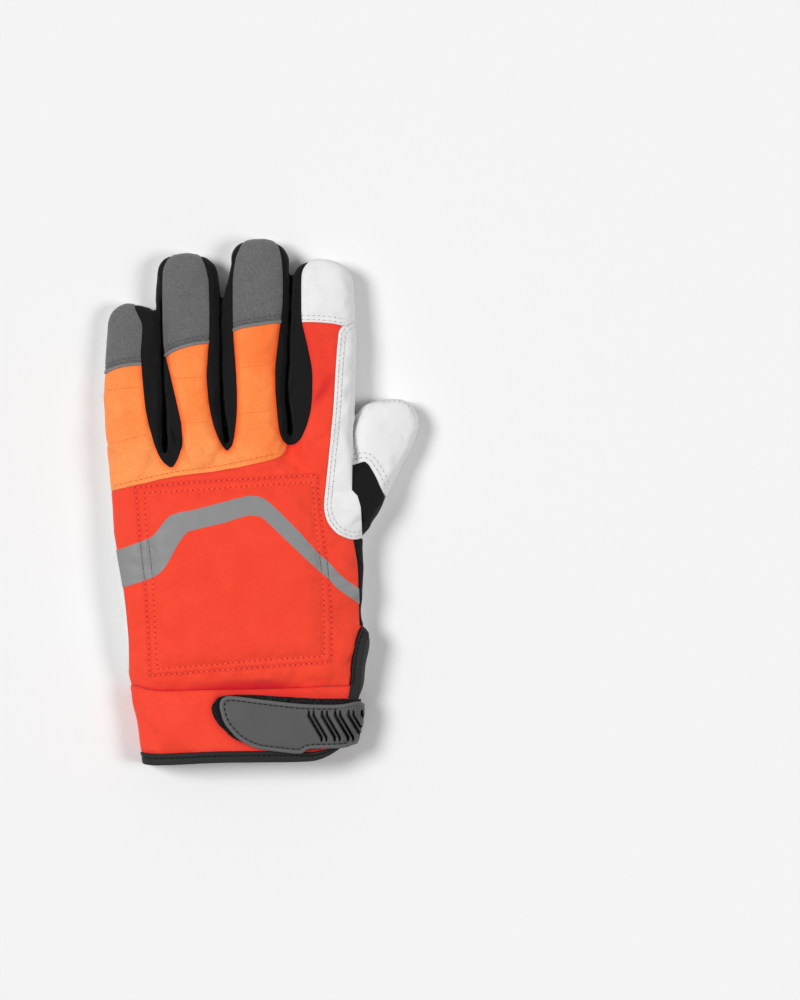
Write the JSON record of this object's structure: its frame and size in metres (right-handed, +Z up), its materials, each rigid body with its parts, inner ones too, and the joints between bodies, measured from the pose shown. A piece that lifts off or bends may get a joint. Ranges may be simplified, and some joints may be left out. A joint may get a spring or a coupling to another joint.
{
  "type": "protective glove",
  "caption": "Left-hand work glove lying palm down: padded woven back, leather palm and thumb, suede finger caps, stretch side strips, slit cuff with a rubber-faced wrist strap.",
  "frame": {"origin": "On the surface that the glove lies on, under the middle of its outline", "axes": "+X to the thumb side, +Y to the fingertips, +Z up through the back of the hand"},
  "size_m": [0.1548, 0.26, 0.0294],
  "materials": {
    "shell_orange": "woven twill with a dry, soft face",
    "shell_red": "woven twill with a dry, soft face",
    "suede_grey": "short-napped synthetic suede",
    "stretch_black": "matt stretch knit",
    "leather_white": "fine-grained smooth goat leather",
    "film_silver": "fine reflective film",
    "rubber_grey": "matt moulded rubber",
    "tape_black": "matt woven tape"
  },
  "bodies": {
    "root": {"palm_leather": "leather_white", "thumb_leather": "leather_white", "cap_index": "leather_white", "index_guard": "leather_white", "back_panel": "shell_red", "cuff_band": "shell_red", "knuckle_panel": "shell_orange", "cap_little": "suede_grey", "cap_ring": "suede_grey", "cap_middle": "suede_grey", "web_little_ring": "stretch_black", "web_ring_middle": "stretch_black", "web_middle_index": "stretch_black", "thumb_gusset": "stretch_black", "side_gusset": "stretch_black", "edge_binding": "tape_black", "strap_backing": "tape_black", "strap_cover": "rubber_grey", "reflective_stripe": "film_silver"}
  },
  "joints": []
}
